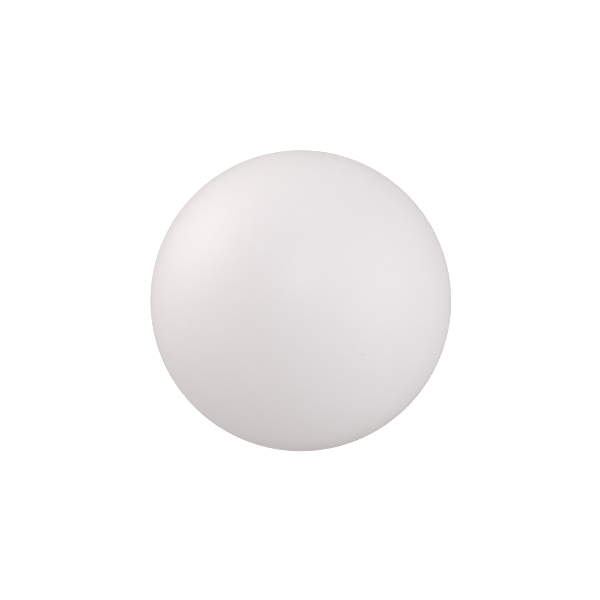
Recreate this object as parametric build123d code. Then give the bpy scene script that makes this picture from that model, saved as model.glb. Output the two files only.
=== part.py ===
from build123d import *
from math import asin, cos, degrees, pi, radians, sqrt
import os

# Pool cue ball of the kind made for coin-operated tables, in millimetres.
# From the middle out it is a cast resin core, two drawn and perforated steel
# half shells that a table's magnet can pull on, and a white cast resin cover.
# The origin is the centre of the ball, and +Z is the pole of the upper half
# shell. The half shells meet on the XY plane.

# ---- driving dimensions -------------------------------------------------
ball_diameter = 57.15       # regulation pool ball, 2 1/4 in
cover_thickness = 5.5       # white resin outside the steel
steel_thickness = 0.4       # sheet that the half shells are drawn from
slip_clearance = 0.05       # radial gap that lets a half shell slip over the core

hole_diameter = 7.0         # punched holes that the cover's resin flows through
bridge_width = 1.9          # least steel between two holes
rim_width = 2.6             # plain steel between the rim and the first row of holes

finger_count = 4            # fingers on each half shell's rim, as many as its slots
finger_width = 4.0          # along the rim
finger_depth = 1.2          # how far a finger reaches past the rim
finger_clearance = 0.1      # gap round a finger in its slot

cut_overlap = 1.0           # how far a cutting shape runs past what it cuts

# ---- sizes that follow --------------------------------------------------
ball_radius = ball_diameter / 2
steel_outer_radius = ball_radius - cover_thickness
steel_inner_radius = steel_outer_radius - steel_thickness
core_radius = steel_inner_radius - slip_clearance
hole_pitch = hole_diameter + bridge_width


def row_latitudes():
    """Latitudes of the rows of holes, spread evenly from the rim to the pole, which is left out."""
    first = degrees(asin((rim_width + hole_diameter / 2) / steel_outer_radius))
    least_step = 2 * degrees(asin(hole_pitch / (2 * steel_inner_radius)))
    steps = int((90 - first) / least_step)
    return [first + (90 - first) * row / steps for row in range(steps)]


def holes_in_row(latitude):
    """The most holes that a row can hold with their centres a pitch apart."""
    row_radius = steel_inner_radius * cos(radians(latitude))
    return int(pi / asin(hole_pitch / (2 * row_radius)))


def turned_to_holes(shape):
    """Copies of a shape that stands at the pole, one for each hole of the upper half shell."""
    directions = [(0.0, 90.0)]
    for row, latitude in enumerate(row_latitudes()):
        count = holes_in_row(latitude)
        step = 360 / count
        directions += [((k + row % 2 / 2) * step, latitude) for k in range(count)]
    return [Rot(0, 0, azimuth) * Rot(0, 90 - latitude, 0) * shape for azimuth, latitude in directions]


def turned_over(shape):
    """A shape of the upper half shell, turned half a turn about X to the lower one."""
    return Rot(180, 0, 0) * shape


def pole_punch():
    """The cylinder that punches the pole's hole, from inside the core to outside the steel."""
    hole_radius = hole_diameter / 2
    start = sqrt((core_radius - cut_overlap) ** 2 - hole_radius ** 2)
    length = steel_outer_radius + 2 * cut_overlap - start
    bottom_up = (Align.CENTER, Align.CENTER, Align.MIN)
    return Pos(0, 0, start) * Cylinder(hole_radius, length, align=bottom_up)


def rim_blocks(quarters, width, low, high):
    """Blocks across the rim from one height to another, each so many quarters past a finger step."""
    depth = steel_thickness + 2 * cut_overlap
    block = Box(depth, width, high - low, align=(Align.MIN, Align.CENTER, Align.MIN))
    on_rim = Pos(steel_inner_radius - cut_overlap, 0, low) * block
    step = 360 / finger_count
    return [Rot(0, 0, (k + quarters / 4) * step) * on_rim for k in range(finger_count)]


def steel_half_shell():
    """The upper half shell: a drawn hemisphere with punched holes, and fingers and slots on its rim."""
    drawn = Sphere(steel_outer_radius) - Sphere(steel_inner_radius)
    side = 2 * (steel_outer_radius + cut_overlap)
    upper_half = Box(side, side, side / 2, align=(Align.CENTER, Align.CENTER, Align.MIN))
    fingers = rim_blocks(1, finger_width, -finger_depth, finger_depth)
    slot_width = finger_width + 2 * finger_clearance
    slots = rim_blocks(3, slot_width, -finger_depth, finger_depth + finger_clearance)
    return (drawn & (upper_half + fingers)) - slots - turned_to_holes(pole_punch())


def white_resin_cover():
    """The outside, cast round the steel. A plug of its resin stands on the core in every hole."""
    bonded = Sphere(steel_outer_radius + cut_overlap) - Sphere(core_radius)
    plugs = turned_to_holes(pole_punch() & bonded)
    plugs += [turned_over(plug) for plug in plugs]
    return Sphere(ball_radius) - Sphere(steel_outer_radius) + plugs


half_shell = steel_half_shell()
pieces = {
    "resin_core": Sphere(core_radius),
    "upper_steel_half_shell": half_shell,
    "lower_steel_half_shell": turned_over(half_shell),
    "white_resin_cover": white_resin_cover(),
}

os.makedirs("parts", exist_ok=True)
for node, shape in pieces.items():
    export_step(shape, f"parts/{node}.step")
    print(f"{node}: {len(shape.solids())} solid, {shape.volume:.1f} mm3")
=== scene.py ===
"""Looks of a pool cue ball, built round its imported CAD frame.

The ball is four pieces, one inside another: a filled resin core, two perforated
steel half shells and a white cast resin cover. The cover is built here, with the
faint relief that casting and polishing leave. The other pieces stay as the frame
has them, and get the finish of what they are made of.
"""

import logging
import math
from dataclasses import dataclass
from enum import Enum
from typing import Any

import bpy
import numpy as np
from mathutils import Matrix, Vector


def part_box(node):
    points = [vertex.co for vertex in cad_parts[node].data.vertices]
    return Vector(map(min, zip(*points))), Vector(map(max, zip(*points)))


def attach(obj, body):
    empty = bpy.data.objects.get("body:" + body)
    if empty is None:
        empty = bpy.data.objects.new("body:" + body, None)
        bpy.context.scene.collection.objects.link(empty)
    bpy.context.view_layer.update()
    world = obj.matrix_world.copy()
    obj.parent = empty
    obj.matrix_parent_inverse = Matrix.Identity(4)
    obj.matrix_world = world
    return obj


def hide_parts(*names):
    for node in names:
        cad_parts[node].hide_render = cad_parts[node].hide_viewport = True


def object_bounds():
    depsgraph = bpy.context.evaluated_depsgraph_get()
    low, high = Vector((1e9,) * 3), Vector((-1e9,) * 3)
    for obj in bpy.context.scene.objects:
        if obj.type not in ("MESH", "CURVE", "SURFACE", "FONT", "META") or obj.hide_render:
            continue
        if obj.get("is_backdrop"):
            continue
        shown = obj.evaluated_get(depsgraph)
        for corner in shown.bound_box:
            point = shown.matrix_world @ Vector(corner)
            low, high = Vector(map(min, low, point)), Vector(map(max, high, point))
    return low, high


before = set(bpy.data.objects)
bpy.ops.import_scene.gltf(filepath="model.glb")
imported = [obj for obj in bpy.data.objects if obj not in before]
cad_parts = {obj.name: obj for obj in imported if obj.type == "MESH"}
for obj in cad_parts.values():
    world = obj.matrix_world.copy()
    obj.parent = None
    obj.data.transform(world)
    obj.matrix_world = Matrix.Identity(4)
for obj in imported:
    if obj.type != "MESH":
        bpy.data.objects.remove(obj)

LOG = logging.getLogger("cue_ball")

MM = 0.001
RIDE_BODY = "root"
CREASE = math.radians(30)
MIDDLE = 0.5  # of a noise or a ramp, which go from 0 to 1


# ---- small helpers ------------------------------------------------------
def linear(hex_colour: str) -> tuple[float, float, float, float]:
    """Turns an sRGB hex colour into the linear colour that nodes work in.

    Args:
        hex_colour: six hex digits after a hash sign.

    Returns:
        Red, green, blue and an alpha of one.
    """
    srgb = np.array([int(hex_colour[k : k + 2], 16) for k in (1, 3, 5)]) / 255
    channels = np.where(srgb <= 0.04045, srgb / 12.92, ((srgb + 0.055) / 1.055) ** 2.4)
    return (*(float(c) for c in channels), 1.0)


def direction(azimuth: float, elevation: float) -> np.ndarray:
    """Unit vector of a direction seen from the ball's centre.

    Args:
        azimuth: degrees from the front, -Y, towards the right, +X.
        elevation: degrees above the horizon.

    Returns:
        The vector (sin a cos e, -cos a cos e, sin e).
    """
    a, e = math.radians(azimuth), math.radians(elevation)
    return np.array([math.sin(a) * math.cos(e), -math.cos(a) * math.cos(e), math.sin(e)])


def add(
    tree: bpy.types.NodeTree, kind: str, inputs: dict[Any, Any] | None = None, **settings: Any
) -> bpy.types.Node:
    """Adds one node with its settings, and sets or links its inputs.

    Args:
        tree: the node tree that gets the node.
        kind: the node's Blender type name.
        inputs: by name or number, a value to set or an output socket to link.
        settings: the node's own properties.

    Returns:
        The new node.
    """
    node = tree.nodes.new(kind)
    for name, value in settings.items():
        setattr(node, name, value)
    for key, value in (inputs or {}).items():
        if isinstance(value, bpy.types.NodeSocket):
            tree.links.new(value, node.inputs[key])
        else:
            node.inputs[key].default_value = value
    return node


class Sum(Enum):
    """The sums that the node trees work out, named for what they do."""

    TIMES = "MULTIPLY"
    PLUS = "ADD"
    MINUS = "SUBTRACT"
    POWER_OF_E = "EXPONENT"


def work_out(tree: bpy.types.NodeTree, what: Sum, first: Any, second: Any = 0.0) -> bpy.types.NodeSocket:
    """One sum on two numbers or sockets. Returns its output socket."""
    return add(tree, "ShaderNodeMath", {0: first, 1: second}, operation=what.value).outputs[0]


def millimetres(tree: bpy.types.NodeTree) -> bpy.types.NodeSocket:
    """Object coordinates in millimetres, so that a pattern's scale is a real size. Returns the socket."""
    place = add(tree, "ShaderNodeTexCoord").outputs["Object"]
    return add(tree, "ShaderNodeVectorMath", {0: place, "Scale": 1 / MM}, operation="SCALE").outputs[0]


def cloudy(tree: bpy.types.NodeTree, place: Any, size: float, detail: float = 2.0) -> bpy.types.NodeSocket:
    """Soft noise about zero. Twice a depth times this goes from the depth below to the depth above.

    Args:
        tree: the node tree.
        place: a vector socket in millimetres.
        size: width of one cloud in millimetres.
        detail: how many finer layers it has.

    Returns:
        A socket from about -0.5 to 0.5.
    """
    inputs = {"Vector": place, "Scale": 1 / size, "Detail": detail}
    noise = add(tree, "ShaderNodeTexNoise", inputs, noise_dimensions="3D")
    return work_out(tree, Sum.MINUS, noise.outputs["Fac"], MIDDLE)


def new_material(name: str) -> tuple[bpy.types.Material, bpy.types.NodeTree, bpy.types.Node]:
    """An empty material with a Principled shader.

    Args:
        name: the material's name.

    Returns:
        The material, its node tree and the shader.
    """
    material = bpy.data.materials.new(name)
    material.use_nodes = True
    tree = material.node_tree
    tree.nodes.clear()
    shader = add(tree, "ShaderNodeBsdfPrincipled")
    add(tree, "ShaderNodeOutputMaterial", {"Surface": shader.outputs[0]})
    return material, tree, shader


# ---- finishes -----------------------------------------------------------
@dataclass(frozen=True)
class Speck:
    """A grain of dirt that the resin closed over, at a direction in degrees from the ball's centre.

    Its diameter is in millimetres, at half its darkness, and its darkness is a
    share of the shade.
    """

    azimuth: float
    elevation: float
    diameter: float
    darkness: float


@dataclass(frozen=True)
class CastPhenolicResin:
    """White cast phenolic resin, ground round and tumble polished.

    It gives the eye a milky, slightly warm white with a soft gloss: light goes a
    little way in, and the polish is even but not a mirror. Sizes are in
    millimetres, and the depths are shares of the shade or of the roughness.
    """

    colour: str = "#F3EEEF"
    roughness: float = 0.19
    refraction: float = 1.6
    cloud_size: float = 11.0
    cloud_depth: float = 0.012
    # The resin's real grain is well under 0.1 mm, too fine to show, and is drawn as coarse
    # as it needs to show.
    grain_size: float = 1.2
    grain_depth: float = 0.012
    haze_size: float = 4.0
    haze_depth: float = 0.07
    haze_detail: float = 4.0
    # Real polishing marks are finer still, and are drawn coarser for the same reason.
    peel_size: float = 1.6
    peel_height: float = 0.0006
    milkiness: float = 0.2
    light_depth: float = 0.5
    specks: tuple[Speck, ...] = (
        Speck(23.0, -12.0, 0.45, 0.10),
        Speck(35.0, 17.0, 0.40, 0.06),
        Speck(11.0, 12.0, 0.35, 0.03),
    )

    def speck_mask(self, tree: bpy.types.NodeTree, place: Any, radius: float) -> bpy.types.NodeSocket:
        """How dark the closed-over grains make each point.

        Args:
            tree: the node tree.
            place: the point in millimetres.
            radius: the ball's radius in millimetres.

        Returns:
            A socket from 0, clear, to the darkness of the grain there.
        """
        total: Any = 0.0
        for speck in self.specks:
            centre = tuple(direction(speck.azimuth, speck.elevation) * radius)
            away = add(tree, "ShaderNodeVectorMath", {0: place, 1: centre}, operation="DISTANCE")
            inputs = {
                "Value": away.outputs["Value"],
                "From Min": 0.0,
                "From Max": speck.diameter,
                "To Min": speck.darkness,
                "To Max": 0.0,
            }
            spot = add(tree, "ShaderNodeMapRange", inputs, interpolation_type="SMOOTHSTEP")
            total = work_out(tree, Sum.PLUS, spot.outputs[0], total)
        return total

    def material(self, radius: float) -> bpy.types.Material:
        """The finished material.

        Args:
            radius: the ball's radius in millimetres.

        Returns:
            The material.
        """
        material, tree, shader = new_material("white_cast_phenolic_resin")
        place = millimetres(tree)
        clouds = work_out(tree, Sum.TIMES, cloudy(tree, place, self.cloud_size), 2 * self.cloud_depth)
        grain = work_out(tree, Sum.TIMES, cloudy(tree, place, self.grain_size), 2 * self.grain_depth)
        shade = work_out(tree, Sum.PLUS, work_out(tree, Sum.PLUS, clouds, grain), 1.0)
        shade = work_out(tree, Sum.MINUS, shade, self.speck_mask(tree, place, radius))
        tint = add(
            tree, "ShaderNodeVectorMath", {0: linear(self.colour)[:3], "Scale": shade}, operation="SCALE"
        )
        patches = cloudy(tree, place, self.haze_size, self.haze_detail)
        haze = work_out(tree, Sum.TIMES, patches, 2 * self.haze_depth)
        peel = add(
            tree,
            "ShaderNodeBump",
            {"Height": cloudy(tree, place, self.peel_size), "Distance": self.peel_height * MM},
        )
        tree.links.new(tint.outputs[0], shader.inputs["Base Color"])
        tree.links.new(work_out(tree, Sum.PLUS, haze, self.roughness), shader.inputs["Roughness"])
        tree.links.new(peel.outputs[0], shader.inputs["Normal"])
        shader.inputs["IOR"].default_value = self.refraction
        shader.inputs["Subsurface Weight"].default_value = self.milkiness
        shader.inputs["Subsurface Radius"].default_value = (1.0, 1.0, 1.0)
        shader.inputs["Subsurface Scale"].default_value = self.light_depth * MM
        return material


@dataclass(frozen=True)
class PlatedDrawnSteel:
    """Tin plated mild steel sheet, drawn to a hemisphere and punched.

    It gives the eye a soft grey metal with faint streaks from rim to pole, where
    the sheet slid over the die, and duller clouds in the plate. Sizes are in
    millimetres, and the depth is a share of the roughness.
    """

    colour: str = "#C4C5C3"
    stain: str = "#A8A6A0"
    roughness: float = 0.34
    # Real drawing marks are a few hundredths of a millimetre wide, and are drawn as wide
    # as they need to show.
    streak_width: float = 0.35
    streak_length: float = 14.0
    streak_depth: float = 0.12
    streak_detail: float = 3.0
    stain_size: float = 5.0
    stain_detail: float = 4.0
    scratch_height: float = 0.002

    def material(self) -> bpy.types.Material:
        """The finished material. Its streaks run from rim to pole: the noise is squeezed across them.

        Returns:
            The material.
        """
        material, tree, shader = new_material("tin_plated_drawn_steel")
        place = millimetres(tree)
        squeeze = (1 / self.streak_width, 1 / self.streak_width, 1 / self.streak_length)
        along = add(tree, "ShaderNodeVectorMath", {0: place, 1: squeeze}, operation="MULTIPLY")
        streaks = cloudy(tree, along.outputs[0], size=1.0, detail=self.streak_detail)
        patches = cloudy(tree, place, self.stain_size, self.stain_detail)
        stains = work_out(tree, Sum.PLUS, patches, MIDDLE)
        tint = add(
            tree,
            "ShaderNodeMix",
            {"Factor": stains, "A": linear(self.colour), "B": linear(self.stain)},
            data_type="RGBA",
        )
        dulled = work_out(tree, Sum.TIMES, streaks, 2 * self.streak_depth)
        relief = add(tree, "ShaderNodeBump", {"Height": streaks, "Distance": self.scratch_height * MM})
        tree.links.new(tint.outputs["Result"], shader.inputs["Base Color"])
        tree.links.new(work_out(tree, Sum.PLUS, dulled, self.roughness), shader.inputs["Roughness"])
        tree.links.new(relief.outputs[0], shader.inputs["Normal"])
        shader.inputs["Metallic"].default_value = 1.0
        return material


@dataclass(frozen=True)
class FilledCoreResin:
    """Phenolic resin packed with ground-up resin waste, cast as the core.

    It gives the eye a dull grey brown with pale and dark granules in it. Sizes are
    in millimetres.
    """

    pale: str = "#B7AD9C"
    middle: str = "#8C8272"
    dark: str = "#5E564B"
    roughness: float = 0.62
    granule_size: float = 1.3
    granule_height: float = 0.02
    cloud_size: float = 8.0

    def material(self) -> bpy.types.Material:
        """The finished material. Each granule is one Voronoi cell, shaded by its own random value.

        Returns:
            The material.
        """
        material, tree, shader = new_material("filled_phenolic_core_resin")
        place = millimetres(tree)
        granules = add(tree, "ShaderNodeTexVoronoi", {"Vector": place, "Scale": 1 / self.granule_size})
        lone = add(tree, "ShaderNodeSeparateColor", {0: granules.outputs["Color"]}).outputs[0]
        drift = work_out(tree, Sum.PLUS, lone, cloudy(tree, place, self.cloud_size))
        ramp = add(tree, "ShaderNodeValToRGB", {"Fac": drift})
        ramp.color_ramp.elements[0].color = linear(self.dark)
        ramp.color_ramp.elements[1].color = linear(self.pale)
        ramp.color_ramp.elements.new(MIDDLE).color = linear(self.middle)
        relief = add(
            tree,
            "ShaderNodeBump",
            {"Height": granules.outputs["Distance"], "Distance": self.granule_height * MM},
        )
        tree.links.new(ramp.outputs[0], shader.inputs["Base Color"])
        tree.links.new(relief.outputs[0], shader.inputs["Normal"])
        shader.inputs["Roughness"].default_value = self.roughness
        return material


@dataclass(frozen=True)
class WhiteAcrylicTable:
    """Opal acrylic sheet, cast with a matt face and lit from below.

    It gives the eye a plain white floor with no edge and hardly a shadow. Sizes
    are in millimetres, and the depth is a share of the roughness.
    """

    colour: str = "#F4F4F4"
    light: str = "#FFFFFF"
    glow: float = 0.72
    roughness: float = 0.8
    cloud_size: float = 30.0
    cloud_depth: float = 0.025

    def material(self) -> bpy.types.Material:
        """The finished material, with slight unevenness in its roughness.

        Returns:
            The material.
        """
        material, tree, shader = new_material("opal_acrylic")
        clouds = cloudy(tree, millimetres(tree), self.cloud_size)
        dulled = work_out(tree, Sum.TIMES, clouds, 2 * self.cloud_depth)
        tree.links.new(work_out(tree, Sum.PLUS, dulled, self.roughness), shader.inputs["Roughness"])
        shader.inputs["Base Color"].default_value = linear(self.colour)
        shader.inputs["Emission Color"].default_value = linear(self.light)
        shader.inputs["Emission Strength"].default_value = self.glow
        return material


# ---- surfaces -----------------------------------------------------------
def spherified_cube(steps: int) -> tuple[np.ndarray, np.ndarray]:
    """A sphere of near-square faces with no poles.

    Every point of a cube's surface lattice is moved to equal angles, with the
    tangent of an eighth of a turn times its place from -1 to 1, and then pushed
    out along its own direction to a distance of one. Points on the cube's edges
    belong to two or three faces and are kept once.

    Args:
        steps: faces along one edge of the cube.

    Returns:
        Unit directions, one row each, and quads of their numbers that face outwards.
    """
    across, up = np.meshgrid(np.arange(steps + 1), np.arange(steps + 1), indexing="ij")
    cells = np.arange((steps + 1) ** 2).reshape(steps + 1, steps + 1)
    quad = np.stack([cells[:-1, :-1], cells[1:, :-1], cells[1:, 1:], cells[:-1, 1:]], -1).reshape(-1, 4)
    lattice, quads = [], []
    for axis in range(3):
        for side in (0, steps):
            layers = [np.full_like(across, side), across, up]
            lattice.append(np.stack([layers[(k - axis) % 3] for k in range(3)], -1).reshape(-1, 3))
            turned = quad if side else quad[:, ::-1]
            quads.append(turned + (len(lattice) - 1) * cells.size)
    points, kept = np.unique(np.concatenate(lattice), axis=0, return_inverse=True)
    spread = np.tan((2 * points / steps - 1) * math.pi / 4)
    return spread / np.linalg.norm(spread, axis=1, keepdims=True), kept.ravel()[np.concatenate(quads)]


def mesh_from(name: str, points: np.ndarray, faces: list[np.ndarray]) -> bpy.types.Mesh:
    """Puts whole arrays of points and faces into a mesh.

    Args:
        name: the mesh's name.
        points: places in metres, one row each.
        faces: arrays of corner numbers, one array for each count of corners.

    Returns:
        The mesh, smooth, with its creases kept sharp.
    """
    mesh = bpy.data.meshes.new(name)
    corners = np.concatenate([block.ravel() for block in faces])
    counts = np.concatenate([np.full(len(block), block.shape[1]) for block in faces])
    mesh.vertices.add(len(points))
    mesh.vertices.foreach_set("co", points.astype(np.float32).ravel())
    mesh.loops.add(len(corners))
    mesh.loops.foreach_set("vertex_index", corners.astype(np.int32))
    mesh.polygons.add(len(counts))
    mesh.polygons.foreach_set("loop_start", np.concatenate([[0], np.cumsum(counts)[:-1]]).astype(np.int32))
    mesh.update(calc_edges=True)
    mesh.shade_smooth()
    mesh.set_sharp_from_angle(angle=CREASE)
    return mesh


# ---- the ball's pieces --------------------------------------------------
@dataclass
class ResinCover:
    """The white cover: its polished outside, and the cast hollow that the frame's node has.

    The waves' sizes and height are in millimetres. The skin and the weld are in
    metres, as the mesh is.
    """

    node: str = "white_resin_cover"
    steps: int = 108
    wave_count: int = 28
    wave_sizes: tuple[float, float] = (5.0, 22.0)
    wave_height: float = 0.0012
    seed: int = 57
    skin: float = 1.0 * MM
    weld: float = 0.001 * MM
    finish: CastPhenolicResin = CastPhenolicResin()

    @property
    def radius(self) -> float:
        """Radius of the outside in metres: the shortest half side of the node's box."""
        low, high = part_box(self.node)
        return min(b - a for a, b in zip(low, high)) / 2

    def relief(self, directions: np.ndarray) -> np.ndarray:
        """Depth that polishing took off, in millimetres.

        A sum of cosine waves that cross the ball in random directions, each as
        high as its length allows: height = mean of cos(2 pi place . way / length + start).

        Args:
            directions: unit directions, one row each.

        Returns:
            Heights below the full radius, none above zero.
        """
        rng = np.random.default_rng(self.seed)
        ways = rng.normal(size=(self.wave_count, 3))
        ways /= np.linalg.norm(ways, axis=1, keepdims=True)
        lengths = rng.uniform(*self.wave_sizes, size=self.wave_count)
        starts = rng.uniform(0, 2 * math.pi, size=self.wave_count)
        place = directions * (self.radius / MM)
        waves = np.cos(2 * math.pi * (place @ ways.T) / lengths + starts) * (lengths / self.wave_sizes[1])
        height = self.wave_height * waves.sum(axis=1) / math.sqrt(self.wave_count)
        return height - height.max()

    def outside(self) -> tuple[np.ndarray, np.ndarray]:
        """The outer surface: each direction times (radius + relief), where the relief is below zero.

        Returns:
            Points in metres, one row each, and quads of their numbers.
        """
        directions, quads = spherified_cube(self.steps)
        reach = self.radius + self.relief(directions) * MM
        return directions * reach[:, None], quads

    def hollow(self) -> tuple[np.ndarray, np.ndarray]:
        """The cast inside, copied from the frame's node.

        It is the node's triangles that lie deeper than the skin, with their
        corners rounded to the weld and merged where they meet.

        Returns:
            Points and triangles.
        """
        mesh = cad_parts[self.node].data
        points = np.empty(3 * len(mesh.vertices), dtype=np.float32)
        mesh.vertices.foreach_get("co", points)
        points = points.reshape(-1, 3)
        mesh.calc_loop_triangles()
        triangles = np.empty(3 * len(mesh.loop_triangles), dtype=np.int32)
        mesh.loop_triangles.foreach_get("vertices", triangles)
        triangles = triangles.reshape(-1, 3)
        deep = np.linalg.norm(points, axis=1) < self.radius - self.skin
        triangles = triangles[deep[triangles].all(axis=1)]
        used, numbers = np.unique(triangles, return_inverse=True)
        merged, kept = np.unique(np.round(points[used] / self.weld), axis=0, return_inverse=True)
        triangles = kept.ravel()[numbers.reshape(-1, 3)]
        a, b, c = triangles.T
        return merged * self.weld, triangles[(a != b) & (b != c) & (c != a)]

    def build(self) -> bpy.types.Object:
        """Makes the piece: the outside and the hollow in one mesh, in metres.

        Returns:
            Its object.
        """
        outer_points, quads = self.outside()
        inner_points, triangles = self.hollow()
        points = np.concatenate([outer_points, inner_points])
        mesh = mesh_from(self.node, points, [quads, triangles + len(outer_points)])
        piece = bpy.data.objects.new("polished_resin_cover", mesh)
        bpy.context.scene.collection.objects.link(piece)
        return piece

    def dress(self, piece: bpy.types.Object) -> None:
        """Gives the piece its resin and its place on the frame.

        Args:
            piece: the object that build made.
        """
        piece.data.materials.append(self.finish.material(self.radius / MM))
        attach(piece, RIDE_BODY)
        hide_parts(self.node)


@dataclass
class FramePiece:
    """A piece that stays as the frame has it, and only gets its finish."""

    node: str
    finish: PlatedDrawnSteel | FilledCoreResin

    def dress(self) -> None:
        """Puts the finish in the node's material slots."""
        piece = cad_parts[self.node]
        material = self.finish.material()
        for slot in piece.material_slots:
            slot.material = material


# ---- the studio ---------------------------------------------------------
@dataclass(frozen=True)
class TentPatch:
    """A patch of the tent's cloth that a lamp makes brighter, or a grey card in front of it darker.

    Its direction and spread are in degrees. Its strength is the light that it
    adds, which is below zero for a card.
    """

    azimuth: float
    elevation: float
    spread: float
    strength: float
    colour: str = "#FFFFFF"

    def glow(self, tree: bpy.types.NodeTree, look: bpy.types.NodeSocket) -> bpy.types.NodeSocket:
        """The light that the patch adds, which fades with no edge.

        It is e to the power (cosine of the angle from its middle - 1) / (1 -
        cosine of the spread), so it has fallen to 1/e at the spread.

        Args:
            tree: the world's node tree.
            look: the direction that is looked in.

        Returns:
            The patch's light as a colour socket.
        """
        middle = tuple(direction(self.azimuth, self.elevation))
        near = add(tree, "ShaderNodeVectorMath", {0: look, 1: middle}, operation="DOT_PRODUCT")
        away = work_out(tree, Sum.MINUS, near.outputs["Value"], 1.0)
        fade = work_out(tree, Sum.TIMES, away, 1 / (1 - math.cos(math.radians(self.spread))))
        light = work_out(tree, Sum.TIMES, work_out(tree, Sum.POWER_OF_E, fade), self.strength)
        tint = linear(self.colour)[:3]
        return add(tree, "ShaderNodeVectorMath", {0: tint, "Scale": light}, operation="SCALE").outputs[0]


@dataclass(frozen=True)
class LightTent:
    """Plain soft studio light: a tent of white cloth round the table, with a few lamps outside it.

    The key stands on the left, a little behind the ball, and a broad fill on the
    right. A small lamp stands in front. The cloth sends even light from all round.
    A grey card hangs low behind the ball, and darkens the foot of its outline.
    """

    backdrop: str = "#FFFFFF"
    backdrop_strength: float = 1.05
    cloth: str = "#FFFCF9"
    cloth_strength: float = 0.57
    lamps: tuple[TentPatch, ...] = (
        TentPatch(-96.0, 32.0, 33.0, 1.4),
        TentPatch(57.0, 12.0, 42.0, 0.9, "#F0F6FF"),
        TentPatch(0.0, 25.0, 14.0, 0.75),
    )
    card: TentPatch = TentPatch(174.0, -34.0, 16.0, -0.18)

    def build(self) -> None:
        """Makes the world: cloth and lamps light the ball, and the camera sees plain white past it."""
        world = bpy.data.worlds.new("light_tent")
        world.use_nodes = True
        tree = world.node_tree
        tree.nodes.clear()
        look = add(tree, "ShaderNodeTexCoord").outputs["Generated"]
        total: Any = tuple(self.cloth_strength * channel for channel in linear(self.cloth)[:3])
        for patch in (*self.lamps, self.card):
            both = {0: patch.glow(tree, look), 1: total}
            total = add(tree, "ShaderNodeVectorMath", both, operation="ADD").outputs[0]
        lit = add(tree, "ShaderNodeBackground", {"Color": total}).outputs[0]
        plain = {"Color": linear(self.backdrop), "Strength": self.backdrop_strength}
        white = add(tree, "ShaderNodeBackground", plain).outputs[0]
        seen = add(tree, "ShaderNodeLightPath").outputs["Is Camera Ray"]
        shown = add(tree, "ShaderNodeMixShader", {0: seen, 1: lit, 2: white})
        add(tree, "ShaderNodeOutputWorld", {"Surface": shown.outputs[0]})
        bpy.context.scene.world = world


@dataclass
class Table:
    """The floor: a round sheet of opal acrylic under the ball."""

    radius: float = 1.2
    rings: int = 24
    sectors: int = 96
    finish: WhiteAcrylicTable = WhiteAcrylicTable()

    def build(self, height: float) -> None:
        """Makes the sheet.

        A point is at (r cos t, r sin t): r grows with the square of the ring, so
        that the rings are close together under the ball, and t goes once round.

        Args:
            height: the sheet's height in metres.
        """
        ring, sector = np.meshgrid(np.arange(1, self.rings + 1), np.arange(self.sectors), indexing="ij")
        r = self.radius * (ring / self.rings) ** 2
        t = 2 * math.pi * sector / self.sectors
        points = np.stack([r * np.cos(t), r * np.sin(t), np.full_like(r, height)], -1).reshape(-1, 3)
        inner = ((ring - 1) * self.sectors + sector)[:-1]
        following = (ring - 1) * self.sectors + (sector + 1) % self.sectors
        quads = np.stack([inner, inner + self.sectors, following[:-1] + self.sectors, following[:-1]], -1)
        hub = np.arange(self.sectors)[None, :]
        mesh = mesh_from("table", points, [quads.reshape(-1, 4), hub])
        mesh.materials.append(self.finish.material())
        floor = bpy.data.objects.new("table", mesh)
        bpy.context.scene.collection.objects.link(floor)
        floor.visible_diffuse = False
        floor.visible_glossy = False
        floor.visible_transmission = False
        floor.visible_shadow = False
        floor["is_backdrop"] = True


@dataclass(frozen=True)
class StudioCamera:
    """A long lens a little above the ball's middle, so far off that the ball spans half the picture.

    The lens and the sensor are in millimetres, the elevation in degrees and the
    span is a share of the picture's width. The rest is in metres.
    """

    lens: float = 100.0
    sensor: float = 36.0
    nearest: float = 0.01
    elevation: float = 8.0
    span: float = 0.503
    aside: float = -0.15 * MM
    above: float = 0.12 * MM

    def distance(self, radius: float) -> float:
        """How far off the ball's outline has the span: its radius / the sine of the outline's angle."""
        return radius / math.sin(math.atan(self.span * self.sensor / 2 / self.lens))

    def build(self, radius: float) -> None:
        """Makes the camera, which looks along +Y and down at the ball.

        Args:
            radius: the ball's radius in metres.
        """
        tilt = math.radians(self.elevation)
        back = np.array([0.0, -math.cos(tilt), math.sin(tilt)])
        up = np.array([0.0, math.sin(tilt), math.cos(tilt)])
        aim = np.array([self.aside, 0.0, 0.0]) + up * self.above
        data = bpy.data.cameras.new("studio_camera")
        data.lens = self.lens
        data.sensor_width = self.sensor
        data.clip_start = self.nearest
        camera = bpy.data.objects.new("studio_camera", data)
        camera.location = tuple(aim + back * self.distance(radius))
        camera.rotation_euler = (math.pi / 2 - tilt, 0.0, 0.0)
        bpy.context.scene.collection.objects.link(camera)
        bpy.context.scene.camera = camera


def main() -> None:
    logging.basicConfig(level=logging.INFO, format="%(name)s: %(message)s")
    cad_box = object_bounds()
    bpy.context.scene.view_settings.view_transform = "Standard"
    StudioCamera().build((cad_box[1][2] - cad_box[0][2]) / 2)
    LightTent().build()
    Table().build(cad_box[0][2])
    LOG.info("studio ready")
    cover = ResinCover()
    piece = cover.build()
    cover.dress(piece)
    LOG.info("%s: %d faces", piece.name, len(piece.data.polygons))
    for inner in (
        FramePiece("upper_steel_half_shell", PlatedDrawnSteel()),
        FramePiece("lower_steel_half_shell", PlatedDrawnSteel()),
        FramePiece("resin_core", FilledCoreResin()),
    ):
        inner.dress()
        LOG.info("%s: finish only", inner.node)


if __name__ == "__main__":
    main()
